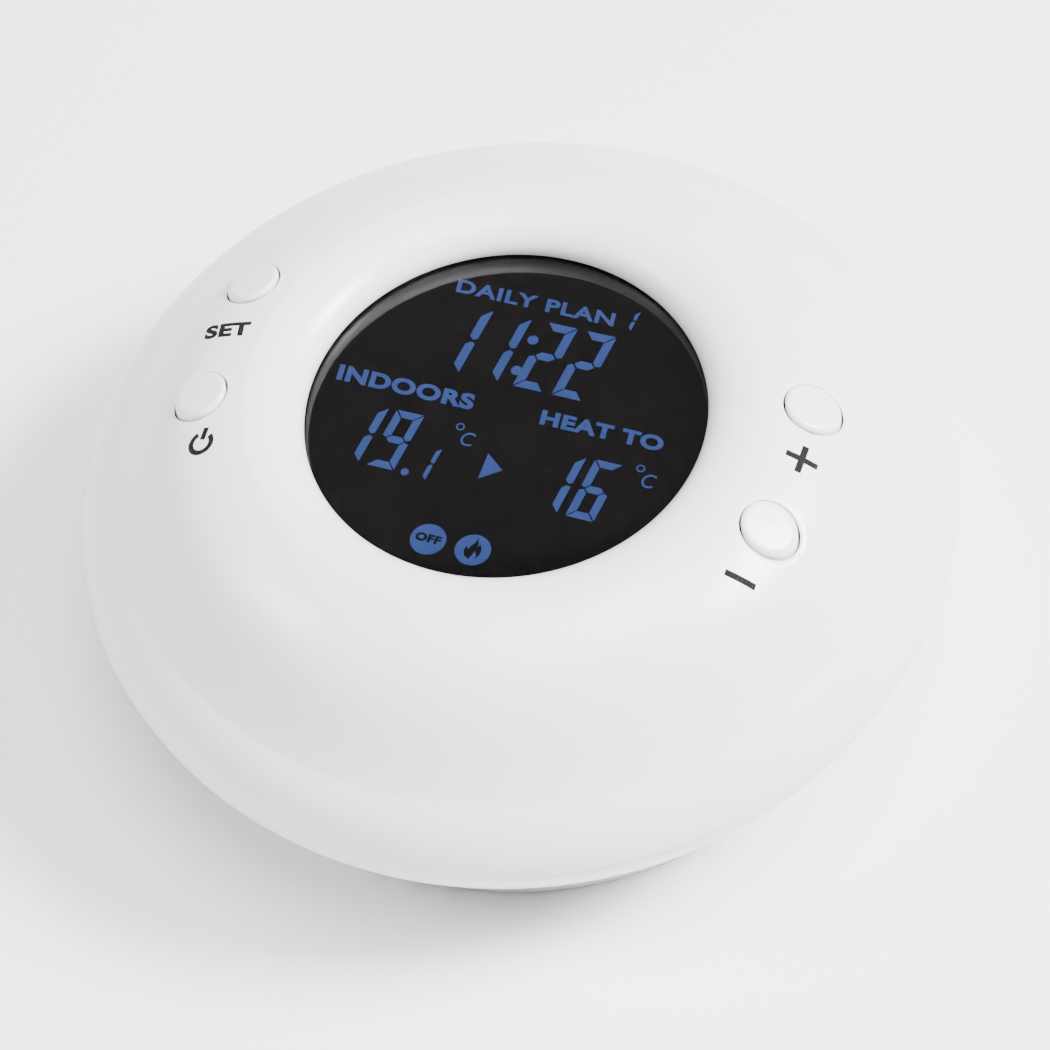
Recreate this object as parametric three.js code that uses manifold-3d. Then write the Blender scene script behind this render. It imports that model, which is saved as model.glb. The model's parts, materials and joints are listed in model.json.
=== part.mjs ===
// Round programmable room controller: a saucer-shaped case with a round display and four buttons.
// Millimetres. +Z points out of the display, +Y to 12 o'clock and +X to 3 o'clock.
// The origin is the centre of the foot ring's flat underside, which the case stands on.
import * as THREE from "three";
import { mergeVertices } from "three/addons/utils/BufferGeometryUtils.js";
import Module from "manifold-3d";

const wasm = await Module();
wasm.setup();

// ---------------------------------------------------------------- driving dimensions
const GAP = 0.3; // air kept between two pieces that touch
const BITE = 1; // how far a cutter runs past the face it opens
const ROUND = 60; // facets round the case
const SMALL_ROUND = 20; // facets round a boss, a button or a screw

// case
const BRIM_R = 60;
const PART_Z = 25.4; // where the front and rear shells meet
const WALL = 2.2;
const CREST_WALL = 1.2 * WALL; // the wall is thicker under the crest
const CREST_R = 34.5; // highest circle of the front shell
const CREST_RISE = 24.2; // crest above the parting plane
const CREASE_INSET = 5.6; // brim to the crease at the foot of the crown
const CREASE_RISE = 9.3;
const CREST_FLAT = 12; // how far the crown stays nearly level outside the crest
const CREST_FALL = 2.8; // fall of the crown over that distance
const SKIRT_STEEP = 6.5; // rise and lean of the crown as it leaves the crease
const SKIRT_LEAN = 6.4;
const BRIM_SWELL = 4.5; // height of the brim's round edge
const BRIM_FALL = 2; // fall of the brim just outside the crease
const FOOT_R = 47.7;
const FOOT_RING = 2.4; // width of the ring that the case stands on
const FOOT_H = 5; // height of the straight foot wall
const FOOT_TAPER = 0.9;
const BOWL_STEEP = 7; // how far the rear bowl rises steeply above the foot and below its rim
const BOWL_LEAN = 2.4;
const TONGUE = 1.2; // thickness of the rear shell's locating tongue
const TONGUE_RISE = 2.4;

// display opening and window
const APERTURE_R = 27;
const LIP_DROP = 4.4; // crest down to the edge of the display opening
const LIP_EDGE = 0.6;
const WINDOW_LAP = 2.4; // window hidden behind the lip
const WINDOW_T = 1.1;

// display stack, measured down from the window
const LCD_MARGIN = 1.8; // glass outside the display opening
const LCD_SHORTER = 1; // the glass is this much shorter than it is wide, on each side
const LCD_T = 2.7;
const GUIDE_T = 3.5;
const GUIDE_CLEARANCE = 0.9; // light guide above the board
const GUIDE_CORNER = 2;
const STRIP_W = 2.2; // rubber connector strips
const STRIP_SHORTER = 4; // each end of a strip short of the glass
const CARRIER_WALL = 2.6;
const CARRIER_LEDGE = 1.2; // ledge that the glass rests on
const CARRIER_CORNER = 8;
const BOARD_T = 1.6;
const BOARD_HEADROOM = 1.4 * WALL; // crown above the edge of the board, wall included
const BOARD_INSET = 1;
const LED_SIZE = [2.6, 3, 2];
const LED_ROOM = 1; // light guide to each light

// buttons
const BUTTON_SPACING = 11.5; // edge of the window to the middle of a button
const BUTTON_HALF_ANGLE = 14; // degrees each side of 3 and 9 o'clock
const BUTTON_R = 3.65;
const BUTTON_CLEARANCE = 0.25;
const BUTTON_PROUD = 0.55;
const BUTTON_EDGE = 0.8;
const BUTTON_TRAVEL = 0.5;
const BUTTON_CROWN = 0.1; // how far the middle of a cap stands above its rim
const SLEEVE_WALL = 1.6;
const FLANGE_OUT = 1.1;
const FLANGE_T = 0.9;
const SWITCH_SIDE = 6;
const SWITCH_H = 3.5;
const SWITCH_FLOOR = 1;
const PLUNGER_R = 1.7;
const PLUNGER_L = 2.4;
const PLUNGER_OUT = BUTTON_TRAVEL + 0.2;

// floor, battery bay and door
const FLOOR_Z = 3; // underside of the floor, inside the foot ring
const FLOOR_T = 2;
const CELL_R = 7.1;
const CELL_L = 49.5;
const CELL_NUB = 1;
const CELL_NUB_R = 2.7;
const CELL_ROOM = 0.5;
const SPRING_L = 3;
const SPRING_WIRE = 0.7;
const SPRING_TURNS = 3;
const SPRING_BASE_R = 4.6;
const SPRING_TIP_R = 2.7;
const CELL_EDGE = 0.7; // bevel round each end of a cell
const CONTACT_T = 0.4;
const CONTACT_W = 10;
const TAIL_W = 2.4;
const TAIL_SLOT_L = 3; // slot for a contact's tail, above the bay
const CONTACT_LIFT = 1; // bottom of a contact above the bottom of its cell
const BAY_WALL = 1.6;
const DOOR_T = 1.4;
const DOOR_LAP = 2.4; // door past the edge of the battery bay
const GRIP_COUNT = 4; // finger grooves in the door
const GRIP_PITCH = 1.6;
const GRIP_SIZE = [12, 0.8, 0.5];
const GRIP_INSET = 4;
const RAIL_L = 6.5;
const RAIL_W = 1.5;
const RAIL_LIP = 1.6;
const RAIL_LIP_T = 0.6;

// screws and bosses
const CASE_SCREW_RING_R = 39;
const CASE_SCREW_R = 1.45;
const CASE_SCREW_BITE = 9; // shank inside the front shell's boss
const SCREW_HEAD_R = 2.8;
const SCREW_HEAD_T = 1.8;
const SLOT_W = 0.7; // cross slot in a screw's head
const SLOT_DEEP = 0.9;
const SLOT_SHARE = 0.62; // length of the cross slot against the head
const BOSS_R = 3.4;
const PILLAR_R = 5;
const PILLAR_WEB = 2;
const PILLAR_WELL = 9; // depth of the screw head below the floor
const BOARD_SCREW_RING_R = 46;
const BOARD_SCREW_R = 1.1;
const BOARD_SCREW_L = 6;
const BOARD_HEAD_R = 2;
const BOARD_HEAD_T = 1.4;
const BOARD_BOSS_R = 2.6;

// vents in the foot and keyholes for wall screws
const VENT_COUNT = 3;
const VENT_PITCH = 6.4; // degrees
const VENT_TOP_W = 1.1;
const VENT_FOOT_W = 2.3;
const VENT_H = 7.5;
const KEYHOLE_X = 19;
const KEYHOLE_Y = 26;
const KEYHOLE_R = 4;
const KEYHOLE_SLOT_R = 2;
const KEYHOLE_RUN = 7;

// parts on the board's underside: side or radius, height, and place
const CONTROLLER = [10, 1.4, 6, -6];
const RADIO = [13, 2.2, -14, 24];
const CRYSTAL = [3.4, 2.2, 18, -6];
const CAPACITOR = [3, 6, 24, -24];
const ANTENNA_START = [-4, 27];
const ANTENNA_L = 14;
const ANTENNA_R = 2;
const ANTENNA_TURNS = 5;
const ANTENNA_WIRE_R = 0.35;
const SENSOR_BEAD_R = 1.5;
const SENSOR_RISE = 10.5; // bead above the floor
const SENSOR_LEAD_R = 0.3;
const SENSOR_LEAD_PITCH = 1.6;

// ---------------------------------------------------------------- heights and radii that follow
const CREST_Z = PART_Z + CREST_RISE;
const CREASE_R = BRIM_R - CREASE_INSET;
const CREASE_Z = PART_Z + CREASE_RISE;
const LIP_Z = CREST_Z - LIP_DROP;
const WINDOW_TOP = LIP_Z - LIP_EDGE - GAP;
const WINDOW_R = APERTURE_R + WINDOW_LAP;
const BUTTON_RING_R = WINDOW_R + BUTTON_SPACING;
const LCD_TOP = WINDOW_TOP - WINDOW_T - GAP;
const LCD_HALF_X = APERTURE_R + LCD_MARGIN;
const LCD_HALF_Y = LCD_HALF_X - LCD_SHORTER;
const GUIDE_TOP = LCD_TOP - LCD_T - GAP;
const LCD_LEDGE = CARRIER_LEDGE + STRIP_W + GAP;
const BOARD_TOP = GUIDE_TOP - GUIDE_T - GUIDE_CLEARANCE;
const BOARD_BASE = BOARD_TOP - BOARD_T;
const SWITCH_TOP = BOARD_TOP + GAP + SWITCH_H;
const PLUNGER_TOP = SWITCH_TOP + PLUNGER_OUT;
const CAP_BASE = PLUNGER_TOP + GAP;
const SLEEVE_BASE = CAP_BASE + FLANGE_T + GAP;
const FLOOR_TOP = FLOOR_Z + FLOOR_T;
const DOOR_TOP = FLOOR_Z - GAP;
const CELL_Z = DOOR_TOP + CELL_ROOM + CELL_R;
const BAY_TOP = CELL_Z + CELL_R + CELL_ROOM;
const BAY_HALF_Y = 2 * CELL_R + 2 * CELL_ROOM;
const CONTACT_X = (CELL_L + CELL_NUB + SPRING_L + 3 * GAP) / 2; // contact faces, each side
const BAY_HALF_X = CONTACT_X + CONTACT_T + GAP;
const TAIL_X = CONTACT_X + CONTACT_T / 2;
const CELL_Y = CELL_R + CELL_ROOM / 2;
const DOOR_HALF_X = BAY_HALF_X + DOOR_LAP;
const DOOR_HALF_Y = BAY_HALF_Y + DOOR_LAP;
const WELL_TOP = FLOOR_Z + PILLAR_WELL;
const PILLAR_TOP = PART_Z;
const COMPONENT_TOP = BOARD_BASE - GAP;

const degrees = THREE.MathUtils.degToRad;
const point = (r, z) => new THREE.Vector2(r, z);

// ---------------------------------------------------------------- joining, cutting and placing
function toSolid(geometry) {
  const bare = geometry.clone();
  bare.deleteAttribute("normal");
  bare.deleteAttribute("uv");
  const merged = mergeVertices(bare, 1e-4);
  const vertProperties = new Float32Array(merged.attributes.position.array);
  const triVerts = new Uint32Array(merged.index.array);
  return new wasm.Manifold(new wasm.Mesh({ numProp: 3, vertProperties, triVerts }));
}

function toGeometry(solid) {
  const mesh = solid.getMesh();
  const geometry = new THREE.BufferGeometry();
  geometry.setAttribute("position", new THREE.BufferAttribute(new Float32Array(mesh.vertProperties), 3));
  geometry.setIndex(new THREE.BufferAttribute(new Uint32Array(mesh.triVerts), 1));
  const flat = geometry.toNonIndexed();
  flat.computeVertexNormals();
  return flat;
}

// A closed outline of (radius, height) points, anticlockwise, turned round Z.
function turned(outline, facets) {
  return new THREE.LatheGeometry(outline, facets).rotateX(Math.PI / 2);
}

function closed(points) {
  return [...points, points[0].clone()];
}

function disc(radius, base, top, x = 0, y = 0, facets = SMALL_ROUND) {
  const outline = [point(0, base), point(radius, base), point(radius, top), point(0, top)];
  return turned(outline, facets).translate(x, y, 0);
}

function block(x0, x1, y0, y1, z0, z1) {
  const geometry = new THREE.BoxGeometry(x1 - x0, y1 - y0, z1 - z0);
  return geometry.translate((x0 + x1) / 2, (y0 + y1) / 2, (z0 + z1) / 2);
}

function roundedSlab(halfX, halfY, corner, base, top) {
  const shape = new THREE.Shape();
  shape.moveTo(-halfX + corner, -halfY);
  shape.absarc(halfX - corner, -halfY + corner, corner, -Math.PI / 2, 0);
  shape.absarc(halfX - corner, halfY - corner, corner, 0, Math.PI / 2);
  shape.absarc(-halfX + corner, halfY - corner, corner, Math.PI / 2, Math.PI);
  shape.absarc(-halfX + corner, -halfY + corner, corner, Math.PI, 1.5 * Math.PI);
  const slab = new THREE.ExtrudeGeometry(shape, { depth: top - base, bevelEnabled: false, curveSegments: 5 });
  return slab.translate(0, 0, base);
}

// Points of a curve moved inwards, square to the curve, by the wall.
function inset(curve, distance, count) {
  const points = [];
  for (let i = 0; i <= count; i += 1) {
    const along = curve.getTangent(i / count);
    const at = curve.getPoint(i / count);
    points.push(point(at.x + along.y * distance, at.y - along.x * distance));
  }
  return points;
}

function around(ringR, angles) {
  return angles.map((angle) => ({
    angle,
    x: ringR * Math.cos(degrees(angle)),
    y: ringR * Math.sin(degrees(angle)),
  }));
}

const caseScrews = around(CASE_SCREW_RING_R, [0, 90, 180, 270]);
const boardScrews = around(BOARD_SCREW_RING_R, [45, 135, 225, 315]);
const buttons = around(BUTTON_RING_R, [
  BUTTON_HALF_ANGLE,
  -BUTTON_HALF_ANGLE,
  180 - BUTTON_HALF_ANGLE,
  180 + BUTTON_HALF_ANGLE,
]);
const buttonNames = ["plus", "minus", "set", "power"];

// ---------------------------------------------------------------- materials
const finish = (color, roughness, metalness = 0) =>
  new THREE.MeshStandardMaterial({ color, roughness, metalness });
const whitePlastic = () => finish(0xe6e6e4, 0.38);
const innerPlastic = () => finish(0xd8d8d4, 0.5);
const darkWindow = () => finish(0x14100f, 0.08);
const displayGlass = () => finish(0x1c2436, 0.12);
const clearAcrylic = () => finish(0xdfe8f4, 0.15);
const connectorRubber = () => finish(0x4a4a50, 0.8);
const boardLaminate = () => finish(0x1f6a3c, 0.45);
const chipPlastic = () => finish(0x1b1b1d, 0.6);
const steel = () => finish(0xb9bcc0, 0.3, 1);
const nickel = () => finish(0xc9c6bd, 0.28, 1);
const copper = () => finish(0xb87a4b, 0.3, 1);
const cellWrap = () => finish(0x2f4a7a, 0.35);
const sensorResin = () => finish(0x2a2a2a, 0.4);

const model = new THREE.Group();

function add(name, geometry, material) {
  const mesh = new THREE.Mesh(geometry, material);
  mesh.name = name;
  model.add(mesh);
  return mesh;
}

// ---------------------------------------------------------------- front shell
const crown = new THREE.CubicBezierCurve(
  point(CREASE_R, CREASE_Z),
  point(CREASE_R - SKIRT_LEAN, CREASE_Z + SKIRT_STEEP),
  point(CREST_R + CREST_FLAT, CREST_Z - CREST_FALL),
  point(CREST_R, CREST_Z),
);
const brim = new THREE.CubicBezierCurve(
  point(BRIM_R, PART_Z + GAP / 2),
  point(BRIM_R, PART_Z + BRIM_SWELL),
  point(CREASE_R + CREASE_INSET / 2, CREASE_Z - BRIM_FALL),
  point(CREASE_R, CREASE_Z),
);

// Share of the way up the crown at which a test of the point there stops being true.
function crownShare(isBelow) {
  let low = 0;
  let high = 1;
  for (let i = 0; i < 40; i += 1) {
    const middle = (low + high) / 2;
    if (isBelow(crown.getPoint(middle))) low = middle;
    else high = middle;
  }
  return low;
}

function crownAt(r) {
  const share = crownShare((spot) => spot.x > r);
  const tangent = crown.getTangent(share);
  return { z: crown.getPoint(share).y, slope: tangent.y / tangent.x };
}

// The board reaches out to where the crown comes down to it.
const boardEdge = crownShare((spot) => spot.y < BOARD_TOP + BOARD_HEADROOM);
const BOARD_R = crown.getPoint(boardEdge).x - BOARD_INSET;

function lipPoints(count) {
  const points = [];
  for (let i = 1; i <= count; i += 1) {
    const turn = (i / count) * (Math.PI / 2);
    const r = APERTURE_R + (CREST_R - APERTURE_R) * (1 - Math.sin(turn));
    points.push(point(r, LIP_Z + LIP_DROP * Math.cos(turn)));
  }
  return points;
}

function frontOutline() {
  const outer = [...brim.getPoints(5), ...crown.getPoints(9).slice(1), ...lipPoints(5)];
  const lipBase = [point(APERTURE_R, LIP_Z - LIP_EDGE), point(WINDOW_R + 2 * GAP, LIP_Z - LIP_EDGE)];
  const ceiling = [point(CREST_R - WALL, CREST_Z - CREST_WALL)];
  const inner = inset(crown, -WALL, 5).reverse();
  const skirt = [point(BRIM_R - WALL, PART_Z + BRIM_SWELL - WALL), point(BRIM_R - WALL, PART_Z + GAP / 2)];
  return closed([...outer, ...lipBase, ...ceiling, ...inner, ...skirt]);
}

// Everything below the middle of the crown's wall, to trim bosses that grow from it.
function underCrown() {
  const top = inset(crown, -WALL / 2, 5);
  const outline = [point(0, 0), point(CREASE_R, 0), ...top, point(0, CREST_Z - WALL / 2)];
  return toSolid(turned(outline, ROUND));
}

function frontShell() {
  let shell = toSolid(turned(frontOutline(), ROUND));
  const room = underCrown();
  const boss = (r, base, at) => toSolid(disc(r, base, CREST_Z, at.x, at.y)).intersect(room);
  for (const at of buttons) {
    shell = shell.add(boss(BUTTON_R + BUTTON_CLEARANCE + SLEEVE_WALL, SLEEVE_BASE, at));
  }
  for (const at of caseScrews) {
    shell = shell.add(boss(BOSS_R, PART_Z + GAP, at));
  }
  for (const at of boardScrews) {
    shell = shell.add(boss(BOARD_BOSS_R, BOARD_TOP + GAP, at));
  }
  for (const at of buttons) {
    const hole = disc(BUTTON_R + BUTTON_CLEARANCE, SLEEVE_BASE - BITE, CREST_Z + BITE, at.x, at.y);
    shell = shell.subtract(toSolid(hole));
  }
  for (const at of caseScrews) {
    const bore = disc(CASE_SCREW_R + GAP, PART_Z - BITE, PART_Z + CASE_SCREW_BITE + BITE, at.x, at.y, 12);
    shell = shell.subtract(toSolid(bore));
  }
  for (const at of boardScrews) {
    const top = BOARD_BASE + BOARD_SCREW_L + BITE / 2;
    shell = shell.subtract(toSolid(disc(BOARD_SCREW_R + GAP, BOARD_TOP, top, at.x, at.y, 12)));
  }
  return toGeometry(shell);
}

// ---------------------------------------------------------------- rear shell
function rearBowl() {
  return new THREE.CubicBezierCurve(
    point(FOOT_R + FOOT_TAPER, FOOT_H),
    point(FOOT_R + FOOT_TAPER + BOWL_LEAN, FOOT_H + BOWL_STEEP),
    point(BRIM_R - GAP, PART_Z - BOWL_STEEP),
    point(BRIM_R - GAP, PART_Z - GAP / 2),
  );
}

function rearOutline() {
  const tongueR = BRIM_R - WALL - GAP;
  const inner = inset(rearBowl(), -WALL, 5).reverse().slice(1);
  return closed([
    point(FOOT_R, 0),
    ...rearBowl().getPoints(6),
    point(tongueR, PART_Z - GAP / 2),
    point(tongueR, PART_Z + TONGUE_RISE),
    point(tongueR - TONGUE, PART_Z + TONGUE_RISE),
    point(tongueR - TONGUE, PART_Z - TONGUE_RISE),
    ...inner.slice(1),
    point(FOOT_R - FOOT_RING, FLOOR_TOP),
    point(FOOT_R - FOOT_RING, 0),
  ]);
}

function rails() {
  const inside = DOOR_HALF_X + GAP;
  const parts = [];
  for (const side of [-1, 1]) {
    for (const end of [-1, 1]) {
      const y = end * (DOOR_HALF_Y / 2);
      const span = [inside, inside + RAIL_W].map((v) => v * side).sort((a, b) => a - b);
      const lip = [inside - RAIL_LIP, inside + RAIL_W].map((v) => v * side).sort((a, b) => a - b);
      const lipTop = DOOR_TOP - DOOR_T - GAP;
      parts.push(block(...span, y - RAIL_L / 2, y + RAIL_L / 2, lipTop - RAIL_LIP_T, FLOOR_Z + BITE));
      parts.push(block(...lip, y - RAIL_L / 2, y + RAIL_L / 2, lipTop - RAIL_LIP_T, lipTop));
    }
  }
  return parts;
}

function ventSlot(angle) {
  const shape = new THREE.Shape();
  shape.moveTo(-VENT_FOOT_W / 2, -BITE);
  shape.lineTo(VENT_FOOT_W / 2, -BITE);
  shape.lineTo(VENT_TOP_W / 2, VENT_H);
  shape.lineTo(-VENT_TOP_W / 2, VENT_H);
  const depth = 4 * FOOT_RING;
  const slot = new THREE.ExtrudeGeometry(shape, { depth, bevelEnabled: false });
  slot.rotateX(Math.PI / 2).translate(0, -(FOOT_R - FOOT_RING - BITE), 0);
  return slot.rotateZ(degrees(angle));
}

function keyhole(x) {
  const eye = toSolid(disc(KEYHOLE_R, FLOOR_Z - BITE, FLOOR_TOP + BITE, x, KEYHOLE_Y, 20));
  const runTop = KEYHOLE_Y + KEYHOLE_RUN;
  const edges = [x - KEYHOLE_SLOT_R, x + KEYHOLE_SLOT_R];
  const run = toSolid(block(...edges, KEYHOLE_Y, runTop, FLOOR_Z - BITE, FLOOR_TOP + BITE));
  const end = toSolid(disc(KEYHOLE_SLOT_R, FLOOR_Z - BITE, FLOOR_TOP + BITE, x, runTop, 16));
  return eye.add(run).add(end);
}

function rearShell() {
  let shell = toSolid(turned(rearOutline(), ROUND));
  shell = shell.add(toSolid(disc(FOOT_R - FOOT_RING / 2, FLOOR_Z, FLOOR_TOP, 0, 0, ROUND)));
  const bayX = BAY_HALF_X + BAY_WALL;
  const bayY = BAY_HALF_Y + BAY_WALL;
  shell = shell.add(toSolid(block(-bayX, bayX, -bayY, bayY, FLOOR_Z, BAY_TOP + BAY_WALL)));
  for (const at of caseScrews) {
    shell = shell.add(toSolid(disc(PILLAR_R, FLOOR_Z, PILLAR_TOP, at.x, at.y)));
  }
  for (const part of rails()) {
    shell = shell.add(toSolid(part));
  }
  const bay = block(-BAY_HALF_X, BAY_HALF_X, -BAY_HALF_Y, BAY_HALF_Y, FLOOR_Z - BITE, BAY_TOP);
  shell = shell.subtract(toSolid(bay));
  for (const end of [-1, 1]) {
    const x = [-TAIL_X - CONTACT_T / 2 - GAP, -TAIL_X + CONTACT_T / 2 + GAP];
    const y = [end * CELL_Y - TAIL_W / 2 - GAP, end * CELL_Y + TAIL_W / 2 + GAP];
    shell = shell.subtract(toSolid(block(...x, ...y, BAY_TOP - BITE, BAY_TOP + TAIL_SLOT_L)));
  }
  for (const at of caseScrews) {
    const well = disc(SCREW_HEAD_R + GAP, FLOOR_Z - BITE, WELL_TOP, at.x, at.y, 20);
    const bore = disc(CASE_SCREW_R + GAP, WELL_TOP - BITE, WELL_TOP + PILLAR_WEB + BITE, at.x, at.y, 12);
    const hollow = disc(SCREW_HEAD_R, WELL_TOP + PILLAR_WEB, PILLAR_TOP + BITE, at.x, at.y, 20);
    shell = shell.subtract(toSolid(well)).subtract(toSolid(bore)).subtract(toSolid(hollow));
  }
  for (let i = 0; i < VENT_COUNT; i += 1) {
    shell = shell.subtract(toSolid(ventSlot((i - (VENT_COUNT - 1) / 2) * VENT_PITCH)));
  }
  for (const x of [-KEYHOLE_X, KEYHOLE_X]) {
    shell = shell.subtract(keyhole(x));
  }
  return toGeometry(shell);
}

// ---------------------------------------------------------------- battery door
function batteryDoor() {
  const base = DOOR_TOP - DOOR_T;
  const body = DOOR_HALF_X - RAIL_LIP;
  let door = toSolid(block(-body, body, -DOOR_HALF_Y, DOOR_HALF_Y, base, DOOR_TOP));
  for (const side of [-1, 1]) {
    for (const end of [-1, 1]) {
      const y = end * (DOOR_HALF_Y / 2);
      const span = [body - BITE, DOOR_HALF_X - GAP].map((v) => v * side).sort((a, b) => a - b);
      door = door.add(toSolid(block(...span, y - RAIL_L / 2, y + RAIL_L / 2, base, DOOR_TOP)));
    }
  }
  const [gripL, gripW, gripDeep] = GRIP_SIZE;
  for (let i = 0; i < GRIP_COUNT; i += 1) {
    const y = DOOR_HALF_Y - GRIP_INSET - GRIP_PITCH * i;
    const groove = block(-gripL / 2, gripL / 2, y - gripW / 2, y + gripW / 2, base - BITE, base + gripDeep);
    door = door.subtract(toSolid(groove));
  }
  return toGeometry(door);
}

// ---------------------------------------------------------------- battery cells and contacts
// A cell lies along X; towards is +1 or -1, the side that its nub points to.
function cell(y, towards) {
  const half = CELL_L / 2;
  const outline = [
    point(0, -half),
    point(CELL_R - CELL_EDGE, -half),
    point(CELL_R, -half + CELL_EDGE),
    point(CELL_R, half - CELL_EDGE),
    point(CELL_R - CELL_EDGE, half),
    point(CELL_NUB_R, half),
    point(CELL_NUB_R, half + CELL_NUB),
    point(0, half + CELL_NUB),
  ];
  const geometry = new THREE.LatheGeometry(outline, SMALL_ROUND);
  geometry.rotateZ((-towards * Math.PI) / 2);
  return geometry.translate(towards * (CONTACT_X - GAP - CELL_NUB - half), y, CELL_Z);
}

class ConeCoil extends THREE.Curve {
  getPoint(t) {
    const turn = 2 * Math.PI * SPRING_TURNS * t;
    const r = SPRING_BASE_R + (SPRING_TIP_R - SPRING_BASE_R) * t;
    const run = (SPRING_L - SPRING_WIRE) * t;
    return new THREE.Vector3(run, r * Math.cos(turn), r * Math.sin(turn));
  }
}

function wireAlong(path, radius, steps) {
  const ring = new THREE.Shape();
  ring.absarc(0, 0, radius, 0, 2 * Math.PI);
  const wire = { steps, extrudePath: path, bevelEnabled: false, curveSegments: 3 };
  return new THREE.ExtrudeGeometry(ring, wire);
}

// A cone spring on the contact at one side, narrowing towards the cell.
function spring(y, side) {
  const geometry = wireAlong(new ConeCoil(), SPRING_WIRE / 2, 12 * SPRING_TURNS);
  if (side > 0) geometry.rotateZ(Math.PI);
  return geometry.translate(side * (CONTACT_X - GAP - SPRING_WIRE / 2), y, CELL_Z);
}

const contactBase = CELL_Z - CELL_R + CONTACT_LIFT;

function terminal(y) {
  const x = [-TAIL_X - CONTACT_T / 2, -TAIL_X + CONTACT_T / 2];
  const plate = block(...x, y - CONTACT_W / 2, y + CONTACT_W / 2, contactBase, BAY_TOP - GAP);
  const tail = block(...x, y - TAIL_W / 2, y + TAIL_W / 2, BAY_TOP - BITE, COMPONENT_TOP);
  return toGeometry(toSolid(plate).add(toSolid(tail)));
}

function bridge() {
  const half = CELL_Y + CONTACT_W / 2;
  return block(TAIL_X - CONTACT_T / 2, TAIL_X + CONTACT_T / 2, -half, half, contactBase, BAY_TOP - GAP);
}

// ---------------------------------------------------------------- display stack
function displayCarrier() {
  const halfX = LCD_HALF_X + GAP;
  const halfY = LCD_HALF_Y + GAP;
  const base = BOARD_TOP + GAP;
  const wall = CARRIER_WALL;
  const outer = toSolid(roundedSlab(halfX + wall, halfY + wall, CARRIER_CORNER, base, LCD_TOP - GAP));
  const well = toSolid(block(-halfX, halfX, -halfY, halfY, GUIDE_TOP, LCD_TOP + BITE));
  const throughX = halfX - CARRIER_LEDGE;
  const throughY = halfY - CARRIER_LEDGE;
  const through = toSolid(block(-throughX, throughX, -throughY, throughY, base - BITE, LCD_TOP));
  return toGeometry(outer.subtract(well).subtract(through));
}

// Two sheets of glass: the upper one overhangs the lower one, over the connector strips.
function lcdPanel() {
  const lowerHalfY = LCD_HALF_Y - LCD_LEDGE;
  const middle = LCD_TOP - LCD_T / 2;
  const upper = block(-LCD_HALF_X, LCD_HALF_X, -LCD_HALF_Y, LCD_HALF_Y, middle, LCD_TOP);
  const lower = block(-LCD_HALF_X, LCD_HALF_X, -lowerHalfY, lowerHalfY, LCD_TOP - LCD_T, LCD_TOP);
  return toGeometry(toSolid(upper).add(toSolid(lower)));
}

const guideHalfX = LCD_HALF_X - CARRIER_LEDGE - LED_SIZE[0] - 2 * LED_ROOM;
const guideHalfY = LCD_HALF_Y - LCD_LEDGE - LED_ROOM;

function lightGuide() {
  return roundedSlab(guideHalfX, guideHalfY, GUIDE_CORNER, GUIDE_TOP - GUIDE_T, GUIDE_TOP);
}

function backlight(side) {
  const [width, length, height] = LED_SIZE;
  const x = side * (guideHalfX + LED_ROOM + width / 2);
  const base = BOARD_TOP + GAP;
  return block(x - width / 2, x + width / 2, -length / 2, length / 2, base, base + height);
}

function connectorStrip(side) {
  const halfL = LCD_HALF_X - STRIP_SHORTER;
  const y = side * (LCD_HALF_Y - CARRIER_LEDGE - STRIP_W / 2);
  const top = LCD_TOP - LCD_T / 2 - GAP;
  return block(-halfL, halfL, y - STRIP_W / 2, y + STRIP_W / 2, BOARD_TOP + GAP, top);
}

// ---------------------------------------------------------------- board and what stands on it
function board() {
  const shape = new THREE.Shape();
  shape.absarc(0, 0, BOARD_R, 0, 2 * Math.PI);
  const pierce = (at, r) => {
    const hole = new THREE.Path();
    hole.absarc(at.x, at.y, r, 0, 2 * Math.PI, true);
    shape.holes.push(hole);
  };
  caseScrews.forEach((at) => pierce(at, BOSS_R + 2 * GAP));
  boardScrews.forEach((at) => pierce(at, BOARD_SCREW_R + GAP));
  const slab = new THREE.ExtrudeGeometry(shape, { depth: BOARD_T, bevelEnabled: false, curveSegments: 12 });
  return slab.translate(0, 0, BOARD_BASE);
}

function chip([side, height, x, y]) {
  const half = side / 2;
  return block(x - half, x + half, y - half, y + half, COMPONENT_TOP - height, COMPONENT_TOP);
}

function capacitor() {
  const [radius, height, x, y] = CAPACITOR;
  return disc(radius, COMPONENT_TOP - height, COMPONENT_TOP, x, y);
}

class AntennaCoil extends THREE.Curve {
  getPoint(t) {
    const turn = 2 * Math.PI * ANTENNA_TURNS * t;
    return new THREE.Vector3(ANTENNA_L * t, ANTENNA_R * Math.cos(turn), ANTENNA_R * Math.sin(turn));
  }
}

function antenna() {
  const coil = wireAlong(new AntennaCoil(), ANTENNA_WIRE_R, 9 * ANTENNA_TURNS);
  const z = COMPONENT_TOP - ANTENNA_R - 2 * ANTENNA_WIRE_R - GAP;
  return coil.translate(...ANTENNA_START, z);
}

// A resin bead on two leads, hanging where the air from the vents reaches it.
function sensor() {
  const y = -(FOOT_R + SENSOR_BEAD_R);
  const z = FLOOR_TOP + SENSOR_RISE;
  const bead = new THREE.SphereGeometry(SENSOR_BEAD_R, 16, 10).scale(1, 1, 1.3).translate(0, y, z);
  let solid = toSolid(bead);
  for (const side of [-1, 1]) {
    const x = (side * SENSOR_LEAD_PITCH) / 2;
    solid = solid.add(toSolid(disc(SENSOR_LEAD_R, z, COMPONENT_TOP, x, y, 8)));
  }
  return toGeometry(solid);
}

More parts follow.
